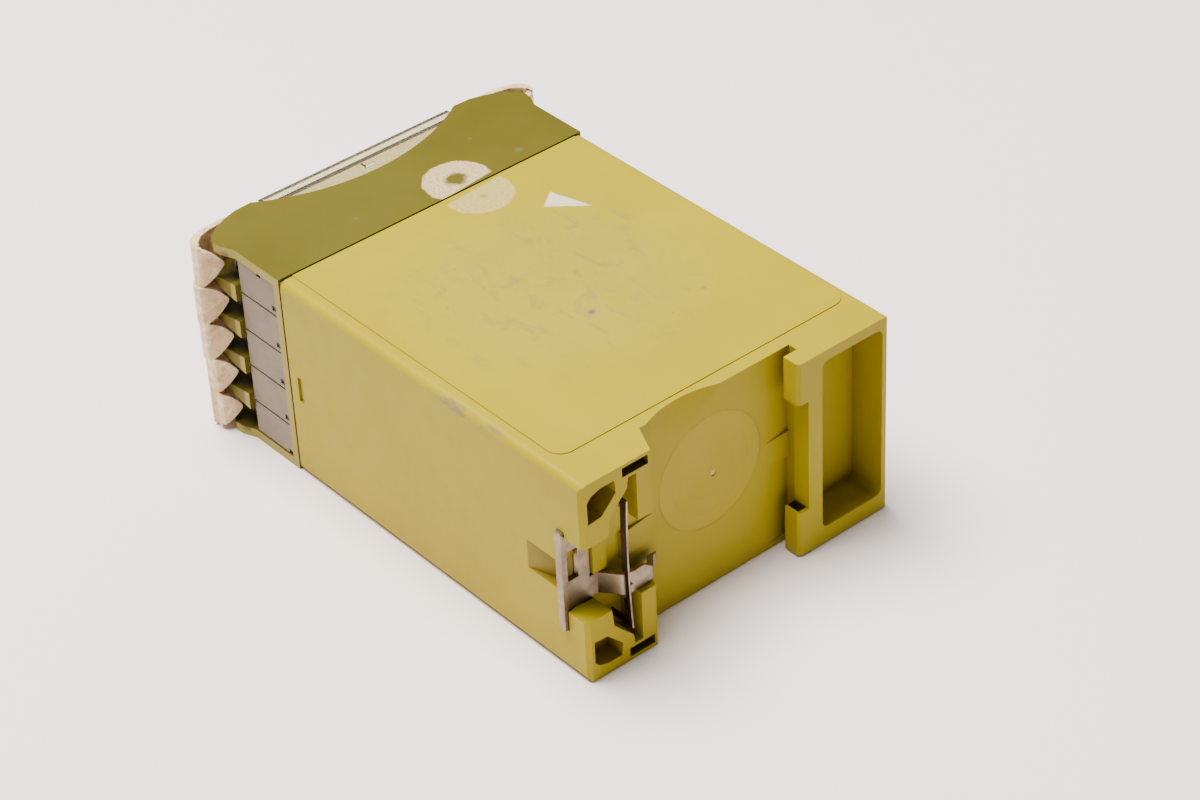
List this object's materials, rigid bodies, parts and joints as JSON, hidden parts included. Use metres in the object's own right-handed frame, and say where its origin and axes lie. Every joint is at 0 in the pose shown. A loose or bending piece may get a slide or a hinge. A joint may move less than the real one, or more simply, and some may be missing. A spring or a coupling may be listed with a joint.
{
  "type": "din rail timer",
  "caption": "Narrow box-shaped time relay module that clips on a top hat rail, with screw terminals at both ends, a spring latch and a clear pull-off cover over its dials.",
  "frame": {"origin": "centre of the rail seat: on the rail's centre line, at the face that the rail's flanges rest on, midway across the width", "axes": "+X towards the latch end, +Y out of the rear towards the rail and panel, so the dials face -Y, +Z across the device's width; the object lies on its side as in the picture"},
  "size_m": [0.0856, 0.1132, 0.045],
  "materials": {
    "housing_yellow": "aged satin moulding",
    "front_olive": "aged satin moulding",
    "plate_olive": "fine matt",
    "clear_cover": "clear moulded plastic, lightly scuffed",
    "block_grey": "dusty matt",
    "guard_cream": "yellowed translucent moulding",
    "contact_brass": "dull",
    "screw_steel": "zinc plated",
    "clamp_steel": "zinc plated",
    "latch_steel": "dull plated sheet",
    "spring_steel": "oiled blue-black",
    "board_green": "solder-resist coated laminate",
    "core_steel": "varnished laminations",
    "bobbin_black": "moulded",
    "winding_copper": "enamelled wire under tape",
    "relay_base_black": "moulded",
    "coil_copper": "enamelled wire",
    "armature_steel": "plated",
    "contact_spring": "spring bronze",
    "relay_cover_clear": "smoky clear moulding",
    "capacitor_sleeve": "shrink sleeve",
    "chip_black": "moulded",
    "resistor_tan": "lacquered",
    "diode_black": "moulded",
    "pot_blue": "moulded",
    "shaft_metal": "turned",
    "knob_black": "moulded",
    "switch_grey": "moulded",
    "shaft_plastic": "moulded",
    "lamp_red": "tinted lens"
  },
  "bodies": {
    "housing": {"main_housing": "housing_yellow", "front_frame": "front_olive", "front_plate": "plate_olive", "terminal_block_lower": "block_grey", "terminal_block_upper": "block_grey", "terminal_cover_lower": "guard_cream", "terminal_cover_upper": "guard_cream", "contacts_lower": "contact_brass", "contacts_upper": "contact_brass", "latch_spring": "spring_steel", "main_board": "board_green", "relay_board": "board_green", "front_board": "board_green", "terminal_board_lower": "board_green", "terminal_board_upper": "board_green", "transformer_core": "core_steel", "transformer_bobbin": "bobbin_black", "transformer_winding": "winding_copper", "relay_base": "relay_base_black", "relay_coil": "coil_copper", "relay_yoke": "armature_steel", "relay_contacts": "contact_spring", "relay_cover": "relay_cover_clear", "capacitors": "capacitor_sleeve", "chips": "chip_black", "resistors": "resistor_tan", "diodes": "diode_black", "time_pot": "pot_blue", "range_switch": "switch_grey", "indicator_lamps": "lamp_red", "link_pins": "contact_brass"},
    "cover": {"front_cover": "clear_cover"},
    "latch": {"rail_latch": "latch_steel"},
    "time_dial": {"time_shaft": "shaft_metal", "time_knob": "knob_black"},
    "range_dial": {"range_shaft": "shaft_plastic", "range_knob": "knob_black"},
    "armature": {"relay_armature": "armature_steel"},
    "clamp_lower_1": {"clamp_lower_1": "clamp_steel"},
    "screw_lower_1": {"screw_lower_1": "screw_steel"},
    "clamp_lower_2": {"clamp_lower_2": "clamp_steel"},
    "screw_lower_2": {"screw_lower_2": "screw_steel"},
    "clamp_lower_3": {"clamp_lower_3": "clamp_steel"},
    "screw_lower_3": {"screw_lower_3": "screw_steel"},
    "clamp_lower_4": {"clamp_lower_4": "clamp_steel"},
    "screw_lower_4": {"screw_lower_4": "screw_steel"},
    "clamp_lower_5": {"clamp_lower_5": "clamp_steel"},
    "screw_lower_5": {"screw_lower_5": "screw_steel"},
    "clamp_upper_1": {"clamp_upper_1": "clamp_steel"},
    "screw_upper_1": {"screw_upper_1": "screw_steel"},
    "clamp_upper_2": {"clamp_upper_2": "clamp_steel"},
    "screw_upper_2": {"screw_upper_2": "screw_steel"},
    "clamp_upper_3": {"clamp_upper_3": "clamp_steel"},
    "screw_upper_3": {"screw_upper_3": "screw_steel"},
    "clamp_upper_4": {"clamp_upper_4": "clamp_steel"},
    "screw_upper_4": {"screw_upper_4": "screw_steel"},
    "clamp_upper_5": {"clamp_upper_5": "clamp_steel"},
    "screw_upper_5": {"screw_upper_5": "screw_steel"}
  },
  "joints": [
    {"name": "cover_pull", "type": "slide", "parent": "housing", "child": "cover", "axis": [0, -1, 0], "range_m": [0, 0.009]},
    {"name": "latch_slide", "type": "slide", "parent": "housing", "child": "latch", "axis": [1, 0, 0], "range_m": [0, 0.003], "stiffness_N_per_m": 600, "springref_m": -0.003, "deforming": ["latch_spring"]},
    {"name": "time_turn", "type": "hinge", "parent": "housing", "child": "time_dial", "pos_m": [-0.005, -0.1, 0], "axis": [0, -1, 0], "range_deg": [0, 270]},
    {"name": "range_turn", "type": "hinge", "parent": "housing", "child": "range_dial", "pos_m": [0.0145, -0.1, -0.01], "axis": [0, -1, 0], "range_deg": [0, 210]},
    {"name": "armature_pull", "type": "hinge", "parent": "housing", "child": "armature", "pos_m": [-0.0139, -0.038, -0.0006], "axis": [0, 1, 0], "range_deg": [0, 3], "stiffness_Nm_per_rad": 0.002, "springref_deg": -5.73},
    {"name": "screw_lower_1_turn", "type": "hinge", "parent": "clamp_lower_1", "child": "screw_lower_1", "pos_m": [0.0315, -0.1, 0.0172], "axis": [0, 1, 0], "range_deg": [0, 3096]},
    {"name": "clamp_lower_1_slide", "type": "slide", "parent": "housing", "child": "clamp_lower_1", "axis": [0, 1, 0], "range_m": [0, 0.0043]},
    {"name": "screw_lower_2_turn", "type": "hinge", "parent": "clamp_lower_2", "child": "screw_lower_2", "pos_m": [0.0315, -0.1, 0.0086], "axis": [0, 1, 0], "range_deg": [0, 3096]},
    {"name": "clamp_lower_2_slide", "type": "slide", "parent": "housing", "child": "clamp_lower_2", "axis": [0, 1, 0], "range_m": [0, 0.0043]},
    {"name": "screw_lower_3_turn", "type": "hinge", "parent": "clamp_lower_3", "child": "screw_lower_3", "pos_m": [0.0315, -0.1, 0], "axis": [0, 1, 0], "range_deg": [0, 3096]},
    {"name": "clamp_lower_3_slide", "type": "slide", "parent": "housing", "child": "clamp_lower_3", "axis": [0, 1, 0], "range_m": [0, 0.0043]},
    {"name": "screw_lower_4_turn", "type": "hinge", "parent": "clamp_lower_4", "child": "screw_lower_4", "pos_m": [0.0315, -0.1, -0.0086], "axis": [0, 1, 0], "range_deg": [0, 3096]},
    {"name": "clamp_lower_4_slide", "type": "slide", "parent": "housing", "child": "clamp_lower_4", "axis": [0, 1, 0], "range_m": [0, 0.0043]},
    {"name": "screw_lower_5_turn", "type": "hinge", "parent": "clamp_lower_5", "child": "screw_lower_5", "pos_m": [0.0315, -0.1, -0.0172], "axis": [0, 1, 0], "range_deg": [0, 3096]},
    {"name": "clamp_lower_5_slide", "type": "slide", "parent": "housing", "child": "clamp_lower_5", "axis": [0, 1, 0], "range_m": [0, 0.0043]},
    {"name": "screw_upper_1_turn", "type": "hinge", "parent": "clamp_upper_1", "child": "screw_upper_1", "pos_m": [-0.0315, -0.1, 0.0172], "axis": [0, 1, 0], "range_deg": [0, 3096]},
    {"name": "clamp_upper_1_slide", "type": "slide", "parent": "housing", "child": "clamp_upper_1", "axis": [0, 1, 0], "range_m": [0, 0.0043]},
    {"name": "screw_upper_2_turn", "type": "hinge", "parent": "clamp_upper_2", "child": "screw_upper_2", "pos_m": [-0.0315, -0.1, 0.0086], "axis": [0, 1, 0], "range_deg": [0, 3096]},
    {"name": "clamp_upper_2_slide", "type": "slide", "parent": "housing", "child": "clamp_upper_2", "axis": [0, 1, 0], "range_m": [0, 0.0043]},
    {"name": "screw_upper_3_turn", "type": "hinge", "parent": "clamp_upper_3", "child": "screw_upper_3", "pos_m": [-0.0315, -0.1, 0], "axis": [0, 1, 0], "range_deg": [0, 3096]},
    {"name": "clamp_upper_3_slide", "type": "slide", "parent": "housing", "child": "clamp_upper_3", "axis": [0, 1, 0], "range_m": [0, 0.0043]},
    {"name": "screw_upper_4_turn", "type": "hinge", "parent": "clamp_upper_4", "child": "screw_upper_4", "pos_m": [-0.0315, -0.1, -0.0086], "axis": [0, 1, 0], "range_deg": [0, 3096]},
    {"name": "clamp_upper_4_slide", "type": "slide", "parent": "housing", "child": "clamp_upper_4", "axis": [0, 1, 0], "range_m": [0, 0.0043]},
    {"name": "screw_upper_5_turn", "type": "hinge", "parent": "clamp_upper_5", "child": "screw_upper_5", "pos_m": [-0.0315, -0.1, -0.0172], "axis": [0, 1, 0], "range_deg": [0, 3096]},
    {"name": "clamp_upper_5_slide", "type": "slide", "parent": "housing", "child": "clamp_upper_5", "axis": [0, 1, 0], "range_m": [0, 0.0043]}
  ],
  "couplings": [
    {"joint": "screw_lower_1_turn", "follows": "clamp_lower_1_slide", "rad_per_m": 12566},
    {"joint": "screw_lower_2_turn", "follows": "clamp_lower_2_slide", "rad_per_m": 12566},
    {"joint": "screw_lower_3_turn", "follows": "clamp_lower_3_slide", "rad_per_m": 12566},
    {"joint": "screw_lower_4_turn", "follows": "clamp_lower_4_slide", "rad_per_m": 12566},
    {"joint": "screw_lower_5_turn", "follows": "clamp_lower_5_slide", "rad_per_m": 12566},
    {"joint": "screw_upper_1_turn", "follows": "clamp_upper_1_slide", "rad_per_m": 12566},
    {"joint": "screw_upper_2_turn", "follows": "clamp_upper_2_slide", "rad_per_m": 12566},
    {"joint": "screw_upper_3_turn", "follows": "clamp_upper_3_slide", "rad_per_m": 12566},
    {"joint": "screw_upper_4_turn", "follows": "clamp_upper_4_slide", "rad_per_m": 12566},
    {"joint": "screw_upper_5_turn", "follows": "clamp_upper_5_slide", "rad_per_m": 12566}
  ]
}
